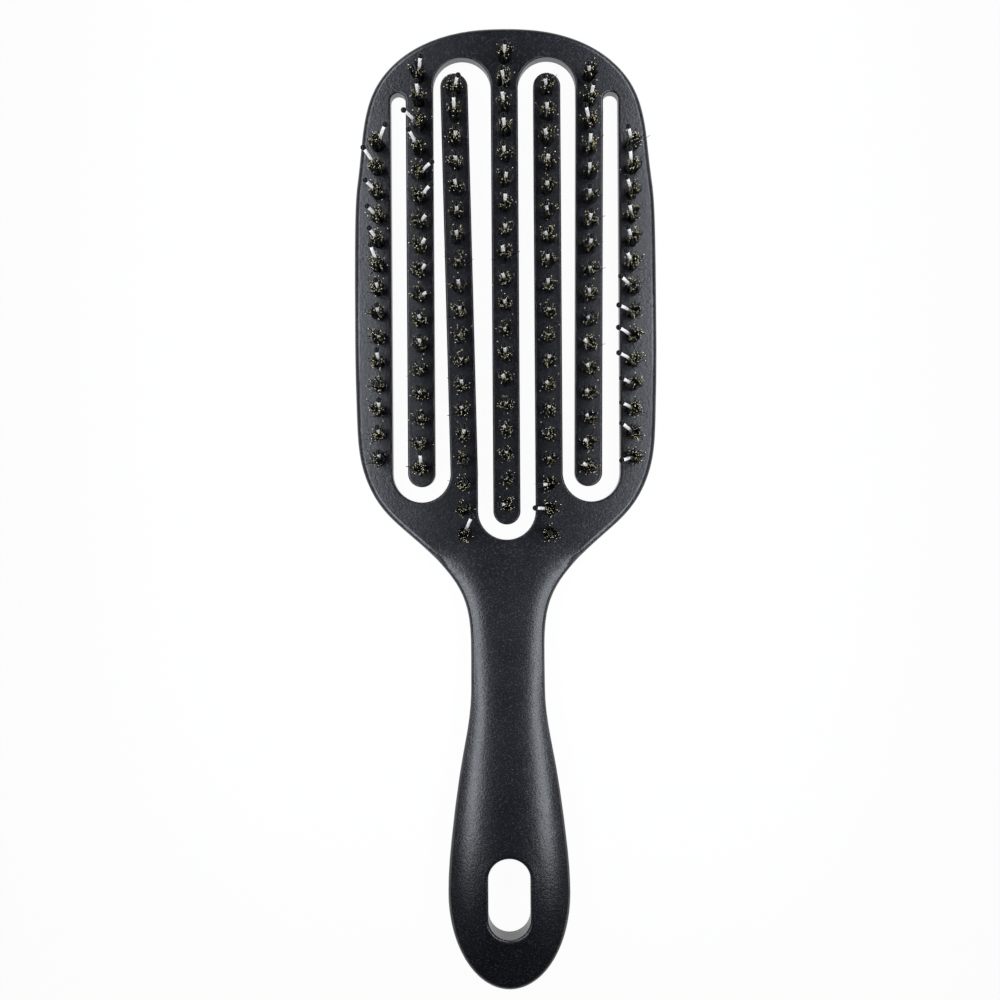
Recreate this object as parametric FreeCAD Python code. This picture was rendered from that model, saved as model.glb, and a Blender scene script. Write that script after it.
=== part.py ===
import FreeCAD, Part
import math
import os

Vector = FreeCAD.Vector
UP = Vector(0, 0, 1)
ACROSS = Vector(1, 0, 0)
TOWARDS_BUTT = Vector(0, -1, 0)
ORIGIN = Vector(0, 0, 0)

# Sizes of the moulding, in millimetres: X across, Y along with the head at +Y, Z up out of the bristle face
overall_length = 250.0
head_width = 78.8
neck_width = 19.3
grip_width = 31.8
crown_to_widest = 82.0
grip_to_butt = 24.4
neck_place_share = 0.395
head_thickness = 5.0
grip_thickness = 10.0
crown_to_ramp = 137.0
front_crowning = 2.1
front_rim_share = 0.13
throat_length_share = 0.3
back_crowning = 1.6
butt_drop = 1.6
head_edge_radius = 1.3
grip_edge_radius = 1.6
cut_overrun = 5.0
crowning_steps = 22

# Points of the right-hand outline, as shares of the lengths and half widths between the key lines
crown_outline_shares = [(0.36, 0.018), (0.61, 0.067), (0.78, 0.135), (0.88, 0.212), (0.955, 0.40)]
heel_outline_shares = [(0.988, 0.36), (0.950, 0.573), (0.775, 0.78), (0.449, 0.949)]
throat_outline_shares = [(0.105, 0.257)]
grip_outline_shares = [(0.394, 0.352), (0.857, 0.74)]

# Hang hole in the grip
hang_hole_width = 11.0
hang_hole_length = 21.0
hang_hole_to_butt = 23.7
hang_hole_rim_radius = 0.8

# Vent slot and the five fingers that it frees
rail_width = 9.65
slot_width = 4.0
slot_edge_radius = 0.5
crown_to_arch_centre = 15.2
crown_to_slot_end = 18.8
crown_to_outer_loop_centre = 116.1
crown_to_centre_loop_centre = 126.0
flexure_length = 2.0
inner_left_lean_deg = 1.15
outer_right_lean_deg = -0.5

# Tuft rows: distance from the crown to each row's first and last tuft
edge_row_inset = 6.4
tuft_hole_radius = 1.5
tuft_hole_depth = 3.8
edge_row_first = 30.7
edge_row_last = 112.1
edge_row_count = 14
outer_row_first = 12.8
outer_row_last = 114.8
outer_row_count = 17
inner_row_first = 16.6
inner_row_last = 131.8
inner_row_count = 19
centre_row_first = 8.0
centre_row_last = 124.2
centre_row_count = 19
outer_crown_tufts = 2
inner_heel_tufts = 3
centre_crown_tufts = 2

# One tuft: folded bristles held in their hole by a flat wire anchor, with a ball-tipped pin up the middle
fit_clearance = 0.05
bristle_height = 9.6
tuft_tip_radius = 1.95
tuft_dome = 0.7
anchor_thickness = 0.35
anchor_height = 1.6
pin_radius = 0.42
pin_height = 16.9
ball_radius = 0.73

crown_y = overall_length / 2
butt_y = -overall_length / 2
widest_y = crown_y - crown_to_widest
ramp_y = crown_y - crown_to_ramp
grip_y = butt_y + grip_to_butt
neck_y = ramp_y + (grip_y - ramp_y) * neck_place_share
hang_hole_y = butt_y + hang_hole_to_butt
slot_end_y = crown_y - crown_to_slot_end
arch_y = crown_y - crown_to_arch_centre
outer_loop_y = crown_y - crown_to_outer_loop_centre
centre_loop_y = crown_y - crown_to_centre_loop_centre
slot_runs = 6
row_pitch = (head_width - 2 * rail_width - slot_width) / (slot_runs - 1)
finger_width = row_pitch - slot_width
edge_row_offset = head_width / 2 - edge_row_inset
hole_floor_z = head_thickness - tuft_hole_depth


def ease(share):
    """Soft start and stop between 0 and 1."""
    held = min(max(share, 0.0), 1.0)
    return held * held * (3 - 2 * held)


def grip_share(y):
    """How far a place lies from the flat head (0) to the full grip (1)."""
    return ease((ramp_y - y) / (ramp_y - grip_y))


def throat_share(y):
    """How far a place lies from the flat head (0) to the end of the throat (1)."""
    return ease((ramp_y - y) / (throat_length_share * (ramp_y - neck_y)))


def front_height(y):
    """Height of the front along the middle line: flat head, rising neck, grip that falls to the butt."""
    past_grip_share = max(grip_y - y, 0.0) / (grip_y - butt_y)
    rise = (grip_thickness - head_thickness) * grip_share(y)
    return head_thickness + rise - butt_drop * past_grip_share ** 2


def edge_radius(y):
    """Rounding of the outer edges, small on the head and full on the grip."""
    return head_edge_radius + (grip_edge_radius - head_edge_radius) * grip_share(y)


def smooth_curve(points, start_direction, end_direction):
    curve = Part.BSplineCurve()
    curve.interpolate(Points=points, InitialTangent=start_direction, FinalTangent=end_direction)
    return curve.toShape()


def between(start, end, shares):
    """Points from start to end, each given by its share of the way across and along."""
    reach = end - start
    return [start] + [start + Vector(reach.x * x, reach.y * y, 0) for x, y in shares] + [end]


def outline_wire():
    """Closed outline of the brush seen from the front, from its right-hand half."""
    crown = Vector(0, crown_y, 0)
    widest = Vector(head_width / 2, widest_y, 0)
    neck = Vector(neck_width / 2, neck_y, 0)
    grip = Vector(grip_width / 2, grip_y, 0)
    butt = Vector(0, butt_y, 0)
    heel_start = Vector(neck.x, widest_y, 0)
    heel_end = Vector(widest.x, ramp_y, 0)
    throat_end = Vector(widest.x, neck_y, 0)
    heel_points = between(heel_start, heel_end, heel_outline_shares)[1:-1]
    throat_points = between(Vector(neck.x, ramp_y, 0), throat_end, throat_outline_shares)[1:-1]
    crown_curve = smooth_curve(between(crown, widest, crown_outline_shares), ACROSS, TOWARDS_BUTT)
    heel_curve = smooth_curve([widest] + heel_points + throat_points + [neck], TOWARDS_BUTT, TOWARDS_BUTT)
    grip_curve = smooth_curve(between(neck, grip, grip_outline_shares), TOWARDS_BUTT, TOWARDS_BUTT)
    butt_ellipse = Part.Ellipse(butt, grip, Vector(0, grip_y, 0))
    butt_curve = butt_ellipse.toShape(0, math.pi / 2)
    right_half = [crown_curve, heel_curve, grip_curve, butt_curve]
    left_half = [edge.mirror(ORIGIN, ACROSS) for edge in right_half]
    return Part.Wire(Part.__sortEdges__(right_half + left_half))


def half_width(y):
    """Half the width of the outline at a place, held from the grip to the butt."""
    if y < grip_y:
        return grip_width / 2
    ray = Part.makeLine(Vector(0, y, 0), Vector(head_width, y, 0))
    return ray.common(Part.Face(outline_wire())).Length


def crowned_tool(height, crown_fall, rim_share, far_z):
    """Waste beyond the crowned face of the neck and grip, lofted through curves that fall to the edges."""
    wires = []
    for step in range(crowning_steps + 1):
        y = ramp_y + (butt_y - cut_overrun - ramp_y) * step / crowning_steps
        reach = half_width(y)
        span = reach + cut_overrun
        crown = crown_fall * grip_share(y) * (span / reach) ** 2
        rim = rim_share * reach * throat_share(y) * (span / reach) ** 4
        # Poles of a curve: the crown falls by the square of the way across, the rim by its fourth power
        falls = [crown + rim, -rim, rim - crown / 3, -rim, crown + rim]
        places = [-span, -span / 2, 0, span / 2, span]
        poles = [Vector(x, y, height(y) - fall) for x, fall in zip(places, falls)]
        curve = Part.BezierCurve()
        curve.setPoles(poles)
        far_right = Vector(span, y, far_z)
        far_left = Vector(-span, y, far_z)
        sides = Part.makePolygon([poles[-1], far_right, far_left, poles[0]])
        wires.append(Part.Wire([curve.toShape()] + sides.Edges))
    return Part.makeLoft(wires, True, False)


def slab(y_a, y_b, low_z, high_z):
    """Block right across the brush between two lines."""
    corner = Vector(-head_width, min(y_a, y_b), low_z)
    return Part.makeBox(2 * head_width, abs(y_b - y_a), high_z - low_z, corner)


def rounded(shape, edge_radii):
    """Round edges, given as (edge number, radius at its start, radius at its end)."""
    sheet = FreeCAD.newDocument("rounding")
    base = sheet.addObject("Part::Feature", "Base")
    base.Shape = shape
    fillet = sheet.addObject("Part::Fillet", "Fillet")
    fillet.Base = base
    fillet.EdgeLinks = (base, [f"Edge{number}" for number, start, end in edge_radii])
    fillet.Edges = edge_radii
    sheet.recompute()
    result = fillet.Shape.copy()
    FreeCAD.closeDocument(sheet.Name)
    return result


def middle_of(edge):
    return edge.valueAt((edge.FirstParameter + edge.LastParameter) / 2)


def is_upright(edge):
    """True for an edge that runs up the thickness."""
    first = edge.valueAt(edge.FirstParameter)
    last = edge.valueAt(edge.LastParameter)
    return math.hypot(last.x - first.x, last.y - first.y) < fit_clearance


def solid_moulding():
    """Head, neck and grip as one body with no openings, its outer edges rounded."""
    top_z = grip_thickness + cut_overrun
    far_z = top_z + cut_overrun
    prism = Part.Face(outline_wire()).extrude(UP * top_z)
    head_waste = slab(ramp_y, crown_y + cut_overrun, head_thickness, far_z)
    front_waste = crowned_tool(front_height, front_crowning, front_rim_share, far_z)
    back_waste = crowned_tool(lambda y: 0.0, -back_crowning, 0.0, -cut_overrun)
    body = prism.cut(head_waste).cut(front_waste).cut(back_waste).Solids[0]
    radii = []
    for number, edge in enumerate(body.Edges, 1):
        first = edge.valueAt(edge.FirstParameter)
        last = edge.valueAt(edge.LastParameter)
        middle = middle_of(edge)
        crossing = abs(middle.x) < fit_clearance
        if is_upright(edge) or crossing:
            continue
        ends = [edge_radius(first.y), edge_radius(last.y)]
        runs_clockwise = (last.y - first.y) * middle.x < 0
        if runs_clockwise:
            ends.reverse()
        radii.append((number, ends[0], ends[1]))
    return rounded(body, radii)


def with_hang_hole(body):
    """Cut the long hang hole through the grip and round its two rims."""
    half_width = hang_hole_width / 2
    straight = hang_hole_length / 2 - half_width
    top_z = grip_thickness + cut_overrun
    upper = Vector(0, hang_hole_y + straight, -cut_overrun)
    lower = Vector(0, hang_hole_y - straight, -cut_overrun)
    side = Vector(half_width, 0, 0)
    round_end = Vector(0, half_width, 0)
    edges = [
        Part.Arc(upper + side, upper + round_end, upper - side).toShape(),
        Part.makeLine(upper - side, lower - side),
        Part.Arc(lower - side, lower - round_end, lower + side).toShape(),
        Part.makeLine(lower + side, upper + side),
    ]
    outline = Part.Wire(edges)
    pierced = body.cut(Part.Face(outline).extrude(UP * (top_z + cut_overrun)))
    rims = []
    for edge in pierced.Edges:
        middle = middle_of(edge)
        on_wall = outline.distToShape(Part.Vertex(middle.x, middle.y, -cut_overrun))[0] < fit_clearance
        if on_wall and not is_upright(edge):
            rims.append(edge)
    return pierced.makeFillet(hang_hole_rim_radius, rims)


def slot_outline():
    """Outline of the one vent slot that winds through the head, as a band about its middle line."""
    half_pitch = row_pitch / 2
    turns = [
        (-2 * row_pitch, outer_loop_y, -half_pitch),
        (-row_pitch, arch_y, half_pitch),
        (0, centre_loop_y, -half_pitch),
        (row_pitch, arch_y, half_pitch),
        (2 * row_pitch, outer_loop_y, -half_pitch),
    ]
    here = Vector(-2 * row_pitch - half_pitch, slot_end_y, 0)
    edges = []
    for x, y, reach in turns:
        entry = Vector(x - half_pitch, y, 0)
        leaving = Vector(x + half_pitch, y, 0)
        edges.append(Part.makeLine(here, entry))
        edges.append(Part.Arc(entry, Vector(x, y + reach, 0), leaving).toShape())
        here = leaving
    edges.append(Part.makeLine(here, Vector(here.x, slot_end_y, 0)))
    band = Part.Wire(edges).makeOffset2D(slot_width / 2, 0, False, False)
    return band.Wires[0]


def stations(first, last, count):
    """Y of each tuft in a row, from the crown down."""
    return [crown_y - first - (last - first) * place / (count - 1) for place in range(count)]


def hole_at(x, y):
    return Part.makeCylinder(tuft_hole_radius, tuft_hole_depth + cut_overrun, Vector(x, y, hole_floor_z))


class Finger:
    """One cantilever finger: a round-tipped bar that a short flexure joins to the head."""

    def __init__(self, name, row_x, tip_y, tuft_ys, root_y, lean_deg):
        self.name = name
        self.row_x = row_x
        self.tip_y = tip_y
        self.root_y = root_y
        self.lean_deg = lean_deg
        self.way = 1 if tip_y > root_y else -1
        self.frame_side_y = root_y - self.way * flexure_length / 2
        self.bar_side_y = root_y + self.way * flexure_length / 2
        self.tuft_places = [self.leaned(row_x, y) for y in tuft_ys]

    def leaned(self, x, y):
        turn = FreeCAD.Rotation(UP, self.lean_deg)
        root = Vector(self.row_x, self.root_y, 0)
        place = root + turn.multVec(Vector(x, y, 0) - root)
        return place.x, place.y

    def bar(self, start_y, width):
        half = width / 2
        left_start = Vector(self.row_x - half, start_y, 0)
        left_end = Vector(self.row_x - half, self.tip_y, 0)
        tip = Vector(self.row_x, self.tip_y + self.way * half, 0)
        right_end = Vector(self.row_x + half, self.tip_y, 0)
        right_start = Vector(self.row_x + half, start_y, 0)
        edges = [
            Part.makeLine(left_start, left_end),
            Part.Arc(left_end, tip, right_end).toShape(),
            Part.makeLine(right_end, right_start),
            Part.makeLine(right_start, left_start),
        ]
        return Part.Face(Part.Wire(edges)).extrude(UP * head_thickness)

    def leaning_bar(self):
        """Rounded bar at its lean, left long at the root."""
        start_y = self.frame_side_y - self.way * cut_overrun
        blank = self.bar(start_y, finger_width)
        long_edges = []
        for edge in blank.Edges:
            at_start = abs(middle_of(edge).y - start_y) < fit_clearance
            if not (is_upright(edge) or at_start):
                long_edges.append(edge)
        bar = blank.makeFillet(slot_edge_radius, long_edges)
        bar.rotate(Vector(self.row_x, self.root_y, 0), UP, self.lean_deg)
        return bar

    def flexure(self):
        return self.leaning_bar().common(slab(self.frame_side_y, self.bar_side_y, 0, head_thickness))

    def solid(self):
        past_tip_y = self.tip_y + self.way * (finger_width + cut_overrun)
        bar = self.leaning_bar().common(slab(self.bar_side_y, past_tip_y, 0, head_thickness))
        return bar.cut(Part.makeCompound([hole_at(x, y) for x, y in self.tuft_places]))


def paddle_frame(fingers, tuft_places):
    """Moulding of head rim, neck and grip: the slot is cut and rounded, then the fingers are parted off."""
    body = with_hang_hole(solid_moulding())
    outline = slot_outline()
    slotted = body.cut(Part.Face(outline).extrude(UP * head_thickness))
    slot_edges = []
    for edge in slotted.Edges:
        middle = middle_of(edge)
        on_wall = outline.distToShape(Part.Vertex(middle.x, middle.y, 0))[0] < fit_clearance
        if on_wall and not is_upright(edge):
            slot_edges.append(edge)
    frame = slotted.makeFillet(slot_edge_radius, slot_edges)
    for finger in fingers:
        frame = frame.cut(finger.bar(finger.frame_side_y, row_pitch))
    return frame.cut(Part.makeCompound([hole_at(x, y) for x, y in tuft_places]))


def anchor():
    """Flat wire anchor that stands on edge across the floor of a tuft hole."""
    reach = tuft_hole_radius - fit_clearance
    half_length = math.sqrt(reach ** 2 - (anchor_thickness / 2) ** 2)
    corner = Vector(-half_length, -anchor_thickness / 2, hole_floor_z)
    return Part.makeBox(2 * half_length, anchor_thickness, anchor_height, corner)


def pin_end_z():
    ball_z = head_thickness + pin_height - ball_radius
    return ball_z - math.sqrt(ball_radius ** 2 - pin_radius ** 2)


def pin():
    """Nylon pin that stands on the anchor and ends inside the ball."""
    foot_z = hole_floor_z + anchor_height
    return Part.makeCylinder(pin_radius, pin_end_z() - foot_z, Vector(0, 0, foot_z))


def ball_tip():
    """Ball moulded on the end of the pin, flat where it meets the shaft."""
    ball_z = head_thickness + pin_height - ball_radius
    ball = Part.makeSphere(ball_radius, Vector(0, 0, ball_z))
    corner = Vector(-ball_radius, -ball_radius, pin_end_z() - ball_radius)
    waste = Part.makeBox(2 * ball_radius, 2 * ball_radius, ball_radius, corner)
    return ball.cut(waste)


def tuft():
    """Bundle of bristles: straight in the hole, spreading above it, domed, saddled over the anchor."""
    root = tuft_hole_radius - fit_clearance
    shoulder_z = head_thickness + bristle_height - tuft_dome
    top_z = head_thickness + bristle_height
    profile = [
        Part.makeLine(Vector(0, 0, hole_floor_z), Vector(root, 0, hole_floor_z)),
        Part.makeLine(Vector(root, 0, hole_floor_z), Vector(root, 0, head_thickness)),
        Part.makeLine(Vector(root, 0, head_thickness), Vector(tuft_tip_radius, 0, shoulder_z)),
        Part.Arc(
            Vector(tuft_tip_radius, 0, shoulder_z),
            Vector(tuft_tip_radius * math.sqrt(0.5), 0, shoulder_z + tuft_dome * math.sqrt(0.5)),
            Vector(0, 0, top_z),
        ).toShape(),
        Part.makeLine(Vector(0, 0, top_z), Vector(0, 0, hole_floor_z)),
    ]
    bundle = Part.Face(Part.Wire(profile)).revolve(ORIGIN, UP, 360)
    saddle = Part.makeBox(
        4 * root, anchor_thickness, anchor_height, Vector(-2 * root, -anchor_thickness / 2, hole_floor_z)
    )
    bore_z = hole_floor_z + anchor_height
    bore = Part.makeCylinder(pin_radius + fit_clearance, top_z - bore_z + cut_overrun, Vector(0, 0, bore_z))
    return bundle.cut(saddle).cut(bore)


def repeated(shape, places):
    return Part.makeCompound([shape.translated(Vector(x, y, 0)) for x, y in places])


def export(name, shape):
    shape.exportStep(f"parts/{name}.step")


# Rows of tufts, and which of them stand on the fingers
edge_ys = stations(edge_row_first, edge_row_last, edge_row_count)
outer_ys = stations(outer_row_first, outer_row_last, outer_row_count)
inner_ys = stations(inner_row_first, inner_row_last, inner_row_count)
centre_ys = stations(centre_row_first, centre_row_last, centre_row_count)
outer_root_y = (outer_ys[outer_crown_tufts - 1] + outer_ys[outer_crown_tufts]) / 2
inner_root_y = (inner_ys[-inner_heel_tufts] + inner_ys[-inner_heel_tufts - 1]) / 2
centre_root_y = (centre_ys[centre_crown_tufts - 1] + centre_ys[centre_crown_tufts]) / 2
outer_finger_ys = outer_ys[outer_crown_tufts:]
inner_finger_ys = inner_ys[:-inner_heel_tufts]
centre_finger_ys = centre_ys[centre_crown_tufts:]
fingers = [
    Finger("outer_left", -2 * row_pitch, outer_loop_y, outer_finger_ys, outer_root_y, 0),
    Finger("inner_left", -row_pitch, arch_y, inner_finger_ys, inner_root_y, inner_left_lean_deg),
    Finger("centre", 0, centre_loop_y, centre_finger_ys, centre_root_y, 0),
    Finger("inner_right", row_pitch, arch_y, inner_finger_ys, inner_root_y, 0),
    Finger("outer_right", 2 * row_pitch, outer_loop_y, outer_finger_ys, outer_root_y, outer_right_lean_deg),
]
frame_groups = {
    "left_rail": [(-edge_row_offset, y) for y in edge_ys],
    "right_rail": [(edge_row_offset, y) for y in edge_ys],
    "crown": [(0, y) for y in centre_ys[:centre_crown_tufts]]
    + [(side * 2 * row_pitch, y) for side in (-1, 1) for y in outer_ys[:outer_crown_tufts]],
    "heel": [(side * row_pitch, y) for side in (-1, 1) for y in inner_ys[-inner_heel_tufts:]],
}

# Write one file for each piece
os.makedirs("parts", exist_ok=True)
frame_places = [place for places in frame_groups.values() for place in places]
export("paddle_frame", paddle_frame(fingers, frame_places))
for finger in fingers:
    export(f"{finger.name}_flexure", finger.flexure())
    export(f"{finger.name}_finger", finger.solid())
groups = dict(frame_groups)
groups.update({finger.name: finger.tuft_places for finger in fingers})
for name, places in groups.items():
    export(f"{name}_tufts", repeated(tuft(), places))
    export(f"{name}_pins", repeated(pin(), places))
    export(f"{name}_ball_tips", repeated(ball_tip(), places))
    export(f"{name}_anchors", repeated(anchor(), places))
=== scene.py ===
import math
import random

import bmesh
import bpy
from mathutils import Matrix, Vector


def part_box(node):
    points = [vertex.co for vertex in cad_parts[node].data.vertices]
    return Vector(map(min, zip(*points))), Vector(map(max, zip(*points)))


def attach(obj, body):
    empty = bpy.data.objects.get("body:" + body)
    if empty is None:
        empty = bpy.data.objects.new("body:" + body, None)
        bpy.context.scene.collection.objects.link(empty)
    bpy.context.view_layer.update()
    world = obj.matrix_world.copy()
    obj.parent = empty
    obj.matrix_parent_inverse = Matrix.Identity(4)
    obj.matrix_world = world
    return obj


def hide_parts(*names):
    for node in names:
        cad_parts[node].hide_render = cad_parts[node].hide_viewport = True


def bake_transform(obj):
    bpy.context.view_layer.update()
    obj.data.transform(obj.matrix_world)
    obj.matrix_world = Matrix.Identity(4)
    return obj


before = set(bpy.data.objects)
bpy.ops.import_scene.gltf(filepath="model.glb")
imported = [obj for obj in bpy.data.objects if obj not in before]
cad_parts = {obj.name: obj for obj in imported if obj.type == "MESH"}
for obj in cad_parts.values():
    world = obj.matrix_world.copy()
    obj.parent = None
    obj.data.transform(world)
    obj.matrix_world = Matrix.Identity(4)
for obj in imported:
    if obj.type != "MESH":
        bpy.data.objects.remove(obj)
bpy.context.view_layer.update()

# Paddle frame: the rim, neck and handle of the brush, injection moulded in one piece from black plastic.
# The mould is spark eroded, which leaves a fine even grain with a soft sheen on every face; the grain's
# glints are painted into the colour as pale specks.
# The flat head runs into the rounded neck through a soft throat.
MM = 0.001


class Value:
    """A shader socket that takes part in sums."""

    def __init__(self, finish, socket):
        self.finish = finish
        self.socket = socket

    def worked(self, operation, other):
        return self.finish.node("ShaderNodeMath", {"operation": operation}, {0: self, 1: other})

    def __add__(self, other):
        return self.worked("ADD", other)

    __radd__ = __add__

    def __mul__(self, other):
        return self.worked("MULTIPLY", other)

    __rmul__ = __mul__

    def at_most(self, other):
        return self.worked("MINIMUM", other)


class Finish:
    """The nodes of one material, or of the world."""

    def __init__(self, owner):
        self.owner = owner
        owner.use_nodes = True
        self.nodes = owner.node_tree.nodes
        self.links = owner.node_tree.links

    def feed(self, socket, value):
        if isinstance(value, Value):
            self.links.new(value.socket, socket)
        else:
            socket.default_value = value

    def node(self, kind, settings, inputs, output=0):
        made = self.nodes.new(kind)
        for name, value in settings.items():
            if name == "stops":
                while len(made.color_ramp.elements) < len(value):
                    made.color_ramp.elements.new(1.0)
                for stop, (place, colour) in zip(made.color_ramp.elements, value):
                    stop.position = place
                    stop.color = colour
            else:
                setattr(made, name, value)
        for name, value in inputs.items():
            self.feed(made.inputs[name], value)
        return Value(self, made.outputs[output])

    def mixed(self, share, first, second):
        """A colour between two others."""
        return self.node("ShaderNodeMix", {"data_type": "RGBA"}, {0: share, 6: first, 7: second}, output=2)

    def noise(self, feature_size, detail=2.0):
        place = self.node("ShaderNodeTexCoord", {}, {}, output="Object")
        sockets = {"Vector": place, "Scale": 1 / feature_size, "Detail": detail}
        return self.node("ShaderNodeTexNoise", {}, sockets)

    def surface(self, **sockets):
        shader = self.nodes["Principled BSDF"]
        for name, value in sockets.items():
            self.feed(shader.inputs[name.replace("_", " ")], value)


def moulded_plastic():
    grain_size = 0.6 * MM
    grain_depth = 0.055 * MM
    painted_glint_size = 0.4 * MM
    cloud_size = 9 * MM
    painted_glint_stops = [(0.56, (0, 0, 0, 1)), (0.72, (1, 1, 1, 1))]
    finish = Finish(bpy.data.materials.new("moulded_plastic"))
    grain = finish.noise(grain_size, detail=3.0)
    painted_glint_noise = finish.noise(painted_glint_size, detail=1.0)
    cloud = finish.noise(cloud_size)
    # The pale specks are painted glints: the light the fine grain catches, put into the base colour as paler
    # spots, mixed with a little random tone from the cloud.
    painted_glint = finish.node("ShaderNodeValToRGB", {"stops": painted_glint_stops}, {0: painted_glint_noise})
    tone = (painted_glint * 0.85 + cloud * 0.15).at_most(1.0)
    bump = {"Strength": 1.0, "Distance": grain_depth, "Height": grain}
    finish.surface(
        Base_Color=finish.mixed(tone, (0.0010, 0.0010, 0.0028, 1), (0.036, 0.037, 0.047, 1)),
        Roughness=0.26 + grain * 0.10 + cloud * 0.06,
        Specular_IOR_Level=0.65,
        Normal=finish.node("ShaderNodeBump", {}, bump),
    )
    return finish.owner


def new_piece(name, maker, finish, smooth=True):
    """A mesh object at the origin from a filled bmesh."""
    mesh = bpy.data.meshes.new(name)
    maker.to_mesh(mesh)
    maker.free()
    mesh.materials.append(finish)
    mesh.polygons.foreach_set("use_smooth", [smooth] * len(mesh.polygons))
    piece = bpy.data.objects.new(name, mesh)
    bpy.context.scene.collection.objects.link(piece)
    return piece


plastic = moulded_plastic()
FACE_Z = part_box("centre_finger")[1].z
NECK_START_Y = -12 * MM
THROAT_TOP_Y = -9 * MM
THROAT_END_Y = -21 * MM
THROAT_HALF_WIDTH = 24 * MM
THROAT_STEP = 0.75 * MM
THROAT_MARGIN = 0.01 * MM
RIM_GAUGE_X = 11 * MM
MERGE_DISTANCE = 0.0005 * MM


def front_z(x, y):
    """Height of the CAD moulding's front at a place."""
    above = Vector((x, y, 4 * FACE_Z))
    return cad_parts["paddle_frame"].ray_cast(above, Vector((0, 0, -1)))[1].z


def rim_fall(y):
    """Fall of the CAD moulding's front towards its sides, per fourth power of the way across."""
    if y > NECK_START_Y:
        return 0.0
    return (front_z(0, y) - front_z(RIM_GAUGE_X, y)) / RIM_GAUGE_X ** 4


def throat_cuts():
    """Planes along and across the throat, close enough together for its faces to bend smoothly."""
    along = round((THROAT_TOP_Y - THROAT_END_Y) / THROAT_STEP)
    across = round(THROAT_HALF_WIDTH / THROAT_STEP)
    for step in range(along + 1):
        yield Vector((0, THROAT_END_Y + step * THROAT_STEP, 0)), (0, 1, 0)
    for step in range(-across, across + 1):
        yield Vector((step * THROAT_STEP, 0, 0)), (1, 0, 0)


def moulded_paddle():
    """The CAD moulding with its throat eased, so that head and neck meet with no crease."""
    cad_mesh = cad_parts["paddle_frame"].data
    maker = bmesh.new()
    maker.from_mesh(cad_mesh)
    maker.verts.ensure_lookup_table()
    kept_normal = maker.verts.layers.float_vector.new("kept_normal")
    for corner, normal in zip(cad_mesh.loops, cad_mesh.corner_normals):
        maker.verts[corner.vertex_index][kept_normal] = normal.vector
    throat = {}
    for face in maker.faces:
        ys = [vert.co.y for vert in face.verts]
        if max(ys) > THROAT_END_Y and min(ys) < THROAT_TOP_Y:
            throat.update(dict.fromkeys([face, *face.edges, *face.verts]))
    throat = list(throat)
    for place, way in throat_cuts():
        cut = bmesh.ops.bisect_plane(maker, geom=throat, dist=MERGE_DISTANCE, plane_co=place, plane_no=way)
        throat = cut["geom"]
    low_y = THROAT_END_Y + THROAT_MARGIN
    high_y = THROAT_TOP_Y - THROAT_MARGIN
    eased_verts = [vert for vert in maker.verts if low_y < vert.co.y < high_y]
    end_fall = rim_fall(THROAT_END_Y)
    for vert in eased_verts:
        share = (THROAT_TOP_Y - vert.co.y) / (THROAT_TOP_Y - THROAT_END_Y)
        eased = (rim_fall(vert.co.y) - end_fall * share ** 2) * vert.co.x ** 4
        vert.co.z *= 1 + eased / FACE_Z
        vert[kept_normal] = (0, 0, 0)
    bmesh.ops.remove_doubles(maker, verts=eased_verts, dist=MERGE_DISTANCE)
    piece = new_piece("moulded_paddle", maker, plastic)
    normals = [normal.vector for normal in piece.data.attributes["kept_normal"].data]
    piece.data.normals_split_custom_set_from_vertices(normals)
    piece.data.attributes.remove(piece.data.attributes["kept_normal"])
    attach(piece, "frame")
    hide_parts("paddle_frame")


moulded_paddle()


# Fingers: five springy bars of the same moulding, freed by the slot that winds through the head.
# Each hangs from the head by its root, which bends when the brush is pulled through hair.
FINGERS = ("outer_left", "inner_left", "centre", "inner_right", "outer_right")
FINGER_LEAN = {"inner_left": math.radians(1.15), "outer_right": math.radians(-0.5)}
FINGER_EDGE = 0.5 * MM
TIP_FLAT = FINGER_EDGE / 50
BEND_LENGTH = 30 * MM
BEND_STEP = 2.5 * MM


class Root:
    """Where a finger leaves the head, read from its CAD solids: the bend starts there and runs along it."""

    def __init__(self, name):
        flexure_low, flexure_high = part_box(f"{name}_flexure")
        finger_low, finger_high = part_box(f"{name}_finger")
        self.middle = (flexure_low + flexure_high) / 2
        self.width = flexure_high.x - flexure_low.x
        self.thickness = flexure_high.z - flexure_low.z
        points_up = finger_high.y > flexure_high.y
        self.way = 1 if points_up else -1
        self.start_y = flexure_low.y if points_up else flexure_high.y
        self.tip_y = finger_high.y if points_up else finger_low.y

    def along(self, distance):
        return Vector((self.middle.x, self.start_y + self.way * distance, self.middle.z))


ROOTS = {name: Root(name) for name in FINGERS}


def bend_with(piece, name):
    """Bake a piece's placement into its mesh; the finger's root and the end of its bend are found but not
    used.
    """
    ROOTS[name].along(0)
    ROOTS[name].along(BEND_LENGTH)
    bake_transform(piece)


def is_level(edge):
    return abs(edge.verts[0].co.z - edge.verts[1].co.z) < FINGER_EDGE


def cut_through(maker, place, way, **settings):
    """Cut a whole mesh by a plane."""
    whole = maker.verts[:] + maker.edges[:] + maker.faces[:]
    return bmesh.ops.bisect_plane(maker, geom=whole, plane_co=place, plane_no=way, **settings)


def round_over(maker, edges, radius, segments):
    bmesh.ops.bevel(
        maker, geom=edges, offset=radius, affect="EDGES", segments=segments, profile=0.5, material=-1
    )


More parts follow.
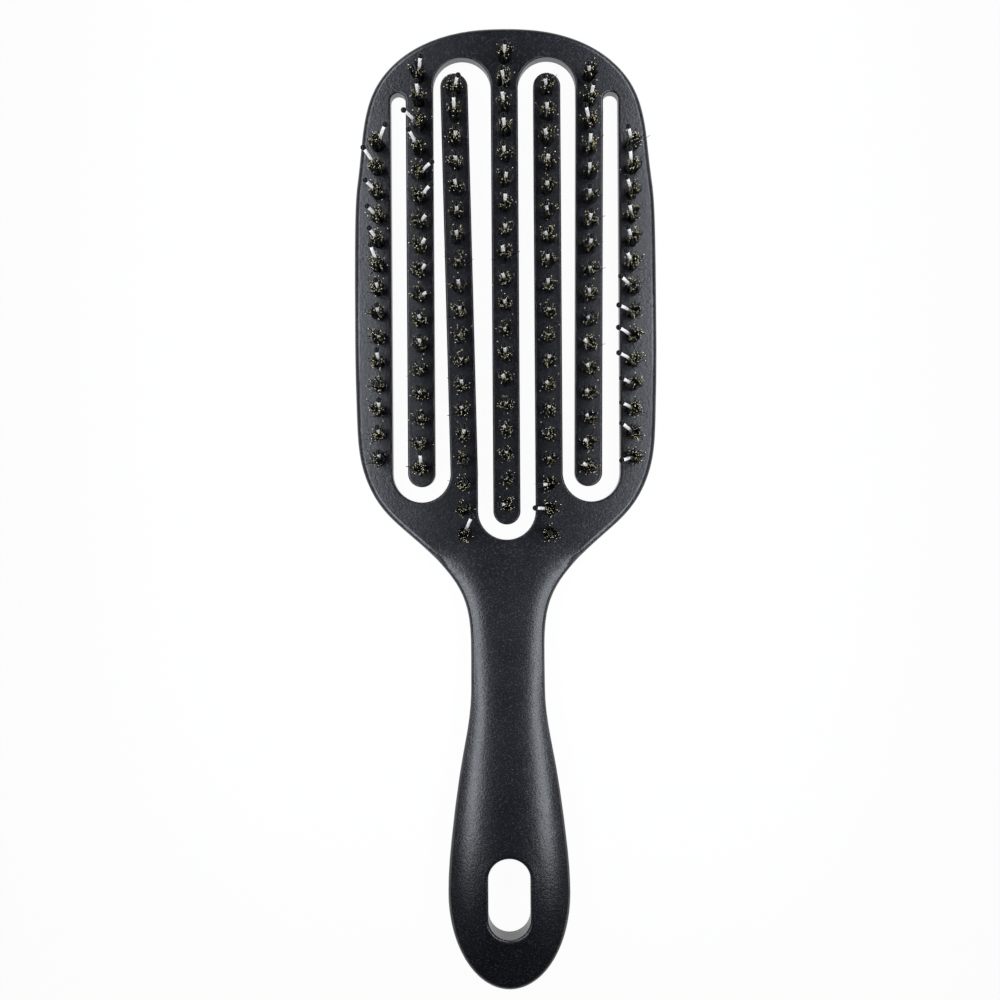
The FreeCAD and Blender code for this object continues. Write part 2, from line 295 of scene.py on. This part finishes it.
def moulded_finger(name):
    root = ROOTS[name]
    spare = 5 * MM
    length = abs(root.tip_y - root.start_y) + spare
    maker = bmesh.new()
    bmesh.ops.create_cube(maker, size=1)
    bmesh.ops.scale(maker, vec=(root.width, length, root.thickness), verts=maker.verts)
    bmesh.ops.translate(maker, vec=(0, length / 2 - spare, 0), verts=maker.verts)
    tip_edges = [e for e in maker.edges if not is_level(e) and all(v.co.y > 0 for v in e.verts)]
    round_over(maker, tip_edges, root.width / 2 - TIP_FLAT, segments=14)
    rims = [e for e in maker.edges if is_level(e) and any(v.co.y >= 0 for v in e.verts)]
    rims = [e for e in rims if len({round(f.normal.z, 3) for f in e.link_faces}) > 1]
    round_over(maker, rims, FINGER_EDGE, segments=4)
    turn = Matrix.Rotation(FINGER_LEAN.get(name, 0.0), 4, "Z")
    if root.way < 0:
        turn = turn @ Matrix.Rotation(math.pi, 4, "Z")
    hang = Vector((0, abs(root.middle.y - root.start_y), 0))
    bmesh.ops.translate(maker, vec=-hang, verts=maker.verts)
    bmesh.ops.transform(maker, matrix=Matrix.Translation(root.middle) @ turn, verts=maker.verts)
    for step in range(1, round(BEND_LENGTH / BEND_STEP) + 1):
        cut_through(maker, root.along(step * BEND_STEP), (0, root.way, 0))
    end = cut_through(maker, root.along(0), (0, -root.way, 0), clear_outer=True)
    end_rim = [e for e in end["geom_cut"] if isinstance(e, bmesh.types.BMEdge)]
    bmesh.ops.contextual_create(maker, geom=end_rim)
    for edge in end_rim:
        edge.smooth = False
    bmesh.ops.recalc_face_normals(maker, faces=maker.faces)
    piece = new_piece(f"{name}_moulded_finger", maker, plastic)
    weighted = piece.modifiers.new("flat_faces_stay_flat", "WEIGHTED_NORMAL")
    weighted.keep_sharp = True
    bend_with(piece, name)
    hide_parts(f"{name}_finger", f"{name}_flexure")


for name in FINGERS:
    moulded_finger(name)


# Wire anchors: short bits of flat steel wire, driven with each folded tuft to the floor of its hole.
# They bite into the plastic and stay hidden under the bristles.
HEAD_GROUPS = ("left_rail", "right_rail", "crown", "heel")
GROUPS = HEAD_GROUPS + FINGERS
ROW_REACH = 8 * MM


def drawn_wire():
    streak_size = 0.2 * MM
    finish = Finish(bpy.data.materials.new("drawn_wire"))
    streaks = finish.noise(streak_size)
    finish.surface(
        Base_Color=finish.mixed(streaks, (0.50, 0.49, 0.47, 1), (0.66, 0.65, 0.63, 1)),
        Metallic=1.0,
        Roughness=0.28 + streaks * 0.2,
    )
    return finish.owner


def settle(piece, group):
    """Join a piece to the head, or only bake the placement of one carried by a finger."""
    if group in FINGERS:
        bend_with(piece, group)
    else:
        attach(piece, "frame")


def middles(maker):
    """The middle of each separate lump of a mesh."""
    found = []
    reached = set()
    for start in maker.verts:
        if start in reached:
            continue
        reached.add(start)
        lump = [start]
        for vert in lump:
            for edge in vert.link_edges:
                other = edge.other_vert(vert)
                if other not in reached:
                    reached.add(other)
                    lump.append(other)
        found.append(sum((vert.co for vert in lump), Vector()) / len(lump))
    return found


def in_rows(group, places):
    """A group's places by rows from left to right, each row from the crown down."""
    def order(place):
        row = round(place.x / ROW_REACH) if group in HEAD_GROUPS else 0
        return row, -place.y

    return sorted(places, key=order)


wire = drawn_wire()
TUFT_PLACES = {}
for group in GROUPS:
    maker = bmesh.new()
    maker.from_mesh(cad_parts[f"{group}_anchors"].data)
    bmesh.ops.remove_doubles(maker, verts=maker.verts, dist=MERGE_DISTANCE)
    TUFT_PLACES[group] = in_rows(group, middles(maker))
    piece = new_piece(f"{group}_wire_anchors", maker, wire, smooth=False)
    settle(piece, group)
    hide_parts(f"{group}_anchors")


# Tufts: bundles of boar bristle, black for most of their length with natural golden brown ends.
# Each bundle is folded in half over its anchor, so the bristles spread from the hole and end unevenly.
HOLE_RADIUS = 1.42 * MM
TUFT_FOOT_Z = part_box("centre_tufts")[0].z + 0.2 * MM
TUFT_TOP_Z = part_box("centre_tufts")[1].z
BUNDLES = 12
BRISTLES = 104
BRISTLE_RADIUS = 0.10 * MM
BRISTLE_SIDES = 3
BRISTLE_SHARES = (0.0, 0.4, 0.75, 0.975, 1.0)
SPREAD = (1.05, 1.6)
END_SCATTER = 0.35 * MM
END_HEIGHTS = (0.84, 0.985)
BOW = 0.25 * MM
STRAYS = 3
STRAY_REACH = (2.2 * MM, 4.2 * MM)
STRAY_HEIGHTS = (0.5, 0.92)
STRAY_BOW = (-0.7 * MM, 0.1 * MM)
FLAGGED_SHARE = 0.28
FLAGGED_FLARE = 0.25
DARK_TAPER = -0.4


def boar_bristle():
    finish = Finish(bpy.data.materials.new("boar_bristle"))
    along = finish.node("ShaderNodeAttribute", {"attribute_name": "along"}, {}, output=2)
    tone = finish.node("ShaderNodeAttribute", {"attribute_name": "tone"}, {}, output=2)
    length_stops = [
        (0.0, (0, 0, 0, 1)),
        (0.80, (0, 0, 0, 1)),
        (0.97, (0.05, 0.05, 0.05, 1)),
        (0.985, (1, 1, 1, 1)),
    ]
    tip_stops = [
        (0.0, (0.010, 0.008, 0.006, 1)),
        (0.99 - FLAGGED_SHARE, (0.012, 0.009, 0.006, 1)),
        (1.01 - FLAGGED_SHARE, (0.42, 0.33, 0.11, 1)),
        (1.0, (1.0, 0.93, 0.68, 1)),
    ]
    paleness = finish.node("ShaderNodeValToRGB", {"stops": length_stops}, {0: along})
    tip = finish.node("ShaderNodeValToRGB", {"stops": tip_stops}, {0: tone})
    finish.surface(
        Base_Color=finish.mixed(paleness, (0.004, 0.0036, 0.0034, 1), tip),
        Roughness=0.30 + tone * 0.18,
        Specular_IOR_Level=0.25,
    )
    return finish.owner


def rim_of(ring):
    """The edges between a ring's own verts, each once and in a steady order."""
    return list(dict.fromkeys(e for v in ring for e in v.link_edges if e.other_vert(v) in ring))


def rod(maker, line, radii, sides):
    """A thin capped rod along a line of points, with a radius at each; returns its rings of verts."""
    ring = bmesh.ops.create_circle(maker, cap_ends=True, segments=sides, radius=1)["verts"]
    rings = [ring]
    for _ in line[1:]:
        grown = bmesh.ops.extrude_edge_only(maker, edges=rim_of(ring))["geom"]
        ring = [g for g in grown if isinstance(g, bmesh.types.BMVert)]
        rings.append(ring)
    bmesh.ops.edgeloop_fill(maker, edges=rim_of(ring))
    axis = (line[-1] - line[0]).normalized()
    side = axis.orthogonal().normalized()
    other_side = axis.cross(side)
    for ring, point, radius in zip(rings, line, radii):
        for vert in ring:
            vert.co = point + (side * vert.co.x + other_side * vert.co.y) * radius
    return rings


def bristle_bundle(seed):
    """One tuft at the origin, its face level at zero: thin bowed rods that carry their shares and tones."""
    draw = random.Random(seed)
    maker = bmesh.new()
    along = maker.verts.layers.float.new("along")
    tone = maker.verts.layers.float.new("tone")
    height = TUFT_TOP_Z - FACE_Z
    for number in range(BRISTLES + STRAYS):
        reach = math.sqrt(draw.random())
        turn = draw.uniform(0, 2 * math.pi)
        out = Vector((math.cos(turn), math.sin(turn), 0))
        foot = out * reach * HOLE_RADIUS + Vector((0, 0, TUFT_FOOT_Z - FACE_Z))
        top = out * reach * HOLE_RADIUS * draw.uniform(*SPREAD)
        scatter = Vector((draw.gauss(0, END_SCATTER), draw.gauss(0, END_SCATTER), 0))
        top += scatter + Vector((0, 0, height * draw.uniform(*END_HEIGHTS)))
        bow = Vector((draw.gauss(0, BOW), draw.gauss(0, BOW), 0))
        if number >= BRISTLES:
            top = out * draw.uniform(*STRAY_REACH) + Vector((0, 0, height * draw.uniform(*STRAY_HEIGHTS)))
            bow = out * draw.uniform(*STRAY_BOW)
        shade = draw.random()
        line = [foot.lerp(top, share) + bow * 4 * share * (1 - share) for share in BRISTLE_SHARES]
        flare = FLAGGED_FLARE if shade > 1 - FLAGGED_SHARE else DARK_TAPER
        radii = [BRISTLE_RADIUS * (1 + flare * share) for share in BRISTLE_SHARES]
        for ring, share in zip(rod(maker, line, radii, BRISTLE_SIDES), BRISTLE_SHARES):
            for vert in ring:
                vert[along] = share
                vert[tone] = shade
    bmesh.ops.recalc_face_normals(maker, faces=maker.faces)
    mesh = bpy.data.meshes.new(f"bundle_{seed}")
    maker.to_mesh(mesh)
    maker.free()
    return mesh


bristle = boar_bristle()
bundles = [bristle_bundle(seed) for seed in range(BUNDLES)]
planting = random.Random(41)
for group in GROUPS:
    maker = bmesh.new()
    maker.verts.layers.float.new("along")
    maker.verts.layers.float.new("tone")
    for place in TUFT_PLACES[group]:
        planted = len(maker.verts)
        maker.from_mesh(planting.choice(bundles))
        maker.verts.ensure_lookup_table()
        turn = Matrix.Rotation(planting.uniform(0, 2 * math.pi), 4, "Z")
        seat = Matrix.Translation((place.x, place.y, FACE_Z))
        bmesh.ops.transform(maker, matrix=seat @ turn, verts=maker.verts[planted:])
    piece = new_piece(f"{group}_bristles", maker, bristle)
    settle(piece, group)
    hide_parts(f"{group}_tufts")
for bundle in bundles:
    bpy.data.meshes.remove(bundle)


# Pins: one nylon monofilament in each tuft, translucent white, taller than the bristles around it.
# They are driven in with the tuft and lean a little as they please.
PIN_RADIUS = 0.42 * MM
PIN_SIDES = 8
PIN_STEPS = 6
PIN_FOOT_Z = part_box("centre_pins")[0].z
BALL_RADIUS = 0.73 * MM
BALL_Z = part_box("centre_ball_tips")[1].z - BALL_RADIUS


def nylon():
    milk_size = 1.5 * MM
    finish = Finish(bpy.data.materials.new("nylon"))
    milk = finish.noise(milk_size)
    finish.surface(
        Base_Color=finish.mixed(milk, (0.86, 0.83, 0.81, 1), (0.95, 0.92, 0.90, 1)),
        Roughness=0.22 + milk * 0.1,
    )
    return finish.owner


def pin_line(place, lean, share):
    """A point of a pin: upright in its tuft, then leaning away."""
    rise = PIN_FOOT_Z + (BALL_Z - PIN_FOOT_Z) * share
    drop = lean.length_squared / (2 * (BALL_Z - FACE_Z)) * share ** 2
    away = lean * share ** 1.5
    return Vector((place.x + away.x, place.y + away.y, rise - drop))


# Where the photo shows each ball, in pixels: rows from left to right, each from the crown down
BALLS_SEEN = {
    "left_rail": [
        (385, 124), (363, 147), (365, 180), (367, 206), (369, 228), (370, 244.5), (375.5, 280),
        (376.5, 305), (378, 332.5), (376.5, 350), (378, 384), (378.5, 400), (377, 427.5), (378, 452),
    ],
    "right_rail": [
        (628.5, 126), (630, 148.5), (626.8, 176.8), (629, 202.7), (627.8, 226.7), (626.6, 250.5),
        (621, 275.8), (619.3, 304.7), (619, 327), (619.2, 352.5), (622, 378), (622, 402.5), (622, 423),
        (622, 460.3),
    ],
    "crown": [(420.5, 55.5), (416, 81), (504.8, 41.6), (501.3, 67.5), (588.7, 63.1), (594.2, 82.4)],
    "heel": [(464.5, 481.5), (464, 506), (471.6, 516.5), (541, 485), (535.4, 508), (550, 533)],
    "outer_left": [
        (403.5, 109.7), (408.4, 129), (431.5, 161.5), (430.5, 184), (427.4, 213), (426.5, 236), (426.7, 262),
        (428.6, 291), (418, 312), (419, 336), (421.6, 365.5), (418, 388), (418.5, 414), (419.4, 438.6),
        (420, 453),
    ],
    "inner_left": [
        (458, 75), (453.4, 94.6), (455.5, 128), (455.5, 153), (454, 176.6), (456.4, 203.4), (455.4, 227.5),
        (457.8, 256.7), (457.7, 276.8), (459.7, 303.5), (457, 332), (461, 355), (461.3, 377), (460.4, 403.4),
        (464.4, 426.7), (465, 462),
    ],
    "centre": [
        (501.6, 89), (503.4, 115), (503.5, 143), (507.2, 169.4), (505.3, 191), (505.6, 221), (501.2, 243),
        (501.2, 270.8), (503.6, 296.8), (503.3, 324.6), (504.2, 345), (500.4, 372.4), (506.3, 399.2),
        (501.7, 423.3), (506.4, 448.4), (504.8, 476), (499.6, 504.5),
    ],
    "inner_right": [
        (544.4, 76), (547, 99.5), (544.2, 126), (548.6, 151), (546.7, 178), (545.8, 203), (543.7, 228.8),
        (547.6, 251.5), (548, 275.7), (549.5, 304.8), (548.6, 331), (549.9, 352), (544.8, 378.8),
        (549.2, 402.5), (546, 431.5), (548.3, 454),
    ],
    "outer_right": [
        (585.7, 104.8), (591, 130.6), (589.7, 159.7), (590, 186), (591.5, 210.5), (592, 236), (590.5, 263.3),
        (589, 285.3), (586.6, 313.6), (582.3, 337.4), (586, 361), (584.8, 387), (584.8, 411.8), (582, 438),
        (581.3, 461.6),
    ],
}
PIXEL = 0.2607 * MM
IMAGE_MIDDLE = 500
CAMERA_RISE = 400 * MM
CAMERA_AIM = Vector((-1.79 * MM, 1.89 * MM, FACE_Z))
CAMERA_ROLL = math.radians(-0.37)


def lean_to(place, seen):
    """How far a pin leans for its ball to stand where the photo shows it."""
    offset = Vector((seen[0] - IMAGE_MIDDLE, IMAGE_MIDDLE - seen[1])) * PIXEL
    offset.rotate(Matrix.Rotation(CAMERA_ROLL, 2))
    nearer = (CAMERA_RISE - (BALL_Z - FACE_Z)) / CAMERA_RISE
    return CAMERA_AIM.xy + offset * nearer - place.xy


filament = nylon()
for group in GROUPS:
    maker = bmesh.new()
    for place, seen in zip(TUFT_PLACES[group], BALLS_SEEN[group]):
        lean = lean_to(place, seen)
        line = [pin_line(place, lean, step / PIN_STEPS) for step in range(PIN_STEPS + 1)]
        rod(maker, line, [PIN_RADIUS] * len(line), PIN_SIDES)
    bmesh.ops.recalc_face_normals(maker, faces=maker.faces)
    piece = new_piece(f"{group}_nylon_pins", maker, filament)
    settle(piece, group)
    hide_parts(f"{group}_pins")


# Ball tips: the end of each pin is dipped in black resin, which draws up into a small glossy ball.
# A short collar of resin runs down the pin below the ball.
COLLAR_START = 0.9 * BALL_RADIUS
COLLAR_LENGTH = 0.3 * BALL_RADIUS
PIN_END_SHARE = 0.9


def black_resin():
    flow_size = 0.8 * MM
    finish = Finish(bpy.data.materials.new("black_resin"))
    flow = finish.noise(flow_size)
    finish.surface(
        Base_Color=finish.mixed(flow, (0.002, 0.002, 0.0025, 1), (0.005, 0.005, 0.006, 1)),
        Roughness=0.03 + flow * 0.04,
        Specular_IOR_Level=0.12,
    )
    return finish.owner


resin = black_resin()
for group in GROUPS:
    maker = bmesh.new()
    for place, seen in zip(TUFT_PLACES[group], BALLS_SEEN[group]):
        lean = lean_to(place, seen)
        ball = bmesh.ops.create_uvsphere(maker, u_segments=12, v_segments=8, radius=BALL_RADIUS)["verts"]
        for vert in ball:
            if vert.co.z < -COLLAR_START:
                vert.co.z -= COLLAR_LENGTH
        top = pin_line(place, lean, 1.0)
        axis = (top - pin_line(place, lean, PIN_END_SHARE)).normalized()
        turn = Vector((0, 0, 1)).rotation_difference(axis).to_matrix().to_4x4()
        bmesh.ops.transform(maker, matrix=Matrix.Translation(top) @ turn, verts=ball)
    piece = new_piece(f"{group}_resin_balls", maker, resin)
    settle(piece, group)
    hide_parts(f"{group}_ball_tips")


# Stage: a white sweep under the brush, white walls with a dim ceiling, and a strip softbox on each side.
# The camera looks straight down on the bristles.
SWEEP_HALF_WIDTH = 6000 * MM
SWEEP_GAP = 0.2 * MM
SWEEP_WHITENESS = 0.965
STRIP_LENGTH = 310 * MM
STRIP_WIDTH = 30 * MM
STRIP_WATTS = 0.23
STRIP_COLOUR = (0.88, 0.93, 1.0)
STRIP_OUT = 66 * MM
STRIP_RISE = 80 * MM
STRIP_AIM_OUT = 30 * MM


def white_sweep():
    finish = Finish(bpy.data.materials.new("white_sweep"))
    camera_ray = finish.node("ShaderNodeLightPath", {}, {}, output="Is Camera Ray")
    glossy_ray = finish.node("ShaderNodeLightPath", {}, {}, output="Is Glossy Ray")
    transmission_ray = finish.node("ShaderNodeLightPath", {}, {}, output="Is Transmission Ray")
    shown = (camera_ray + glossy_ray + transmission_ray).at_most(1.0) * SWEEP_WHITENESS
    lit = finish.node("ShaderNodeBsdfDiffuse", {}, {"Color": (0.82, 0.82, 0.82, 1)})
    glow = finish.node("ShaderNodeEmission", {}, {"Color": (1, 1, 1, 1), "Strength": 1.0})
    both = finish.node("ShaderNodeMixShader", {}, {0: shown, 1: lit, 2: glow})
    finish.feed(finish.nodes["Material Output"].inputs["Surface"], both)
    return finish.owner


def studio_room():
    room_stops = [
        (0.0, (1, 1, 1, 1)),
        (0.05, (1, 1, 1, 1)),
        (0.11, (0.05, 0.05, 0.06, 1)),
        (1.0, (0.025, 0.025, 0.03, 1)),
    ]
    finish = Finish(bpy.data.worlds.new("studio"))
    look = finish.node("ShaderNodeTexCoord", {}, {}, output="Generated")
    way_up = finish.node("ShaderNodeSeparateXYZ", {}, {0: look}, output="Z")
    room = finish.node("ShaderNodeValToRGB", {"stops": room_stops}, {0: way_up})
    finish.feed(finish.nodes["Background"].inputs["Color"], room)
    return finish.owner


def strip_softbox(name, side, along):
    """A strip light beside the brush, turned in towards the head."""
    place = Vector((side * STRIP_OUT, along, STRIP_RISE))
    aim = Vector((side * STRIP_AIM_OUT, along, 0))
    lamp = bpy.data.lights.new(name, "AREA")
    lamp.shape = "RECTANGLE"
    lamp.size = STRIP_LENGTH
    lamp.size_y = STRIP_WIDTH
    lamp.energy = STRIP_WATTS
    lamp.color = STRIP_COLOUR
    light = bpy.data.objects.new(name, lamp)
    light.location = place
    light.rotation_euler = (aim - place).to_track_quat("-Z", "Y").to_euler()
    light.visible_camera = False
    bpy.context.scene.collection.objects.link(light)


maker = bmesh.new()
bmesh.ops.create_grid(maker, x_segments=1, y_segments=1, size=SWEEP_HALF_WIDTH)
bmesh.ops.translate(maker, vec=(0, 0, -SWEEP_GAP), verts=maker.verts)
new_piece("white_sweep", maker, white_sweep())
bpy.context.scene.world = studio_room()
strip_softbox("left_strip", -1, 55 * MM)
strip_softbox("right_strip", 1, 50 * MM)

lens = bpy.data.cameras.new("overhead")
lens.sensor_width = 36
lens.lens = lens.sensor_width * CAMERA_RISE / (2 * IMAGE_MIDDLE * PIXEL)
camera = bpy.data.objects.new("overhead", lens)
camera.location = CAMERA_AIM + Vector((0, 0, CAMERA_RISE))
camera.rotation_euler = (0, 0, CAMERA_ROLL)
bpy.context.scene.collection.objects.link(camera)
bpy.context.scene.camera = camera
bpy.context.scene.view_settings.view_transform = "Standard"
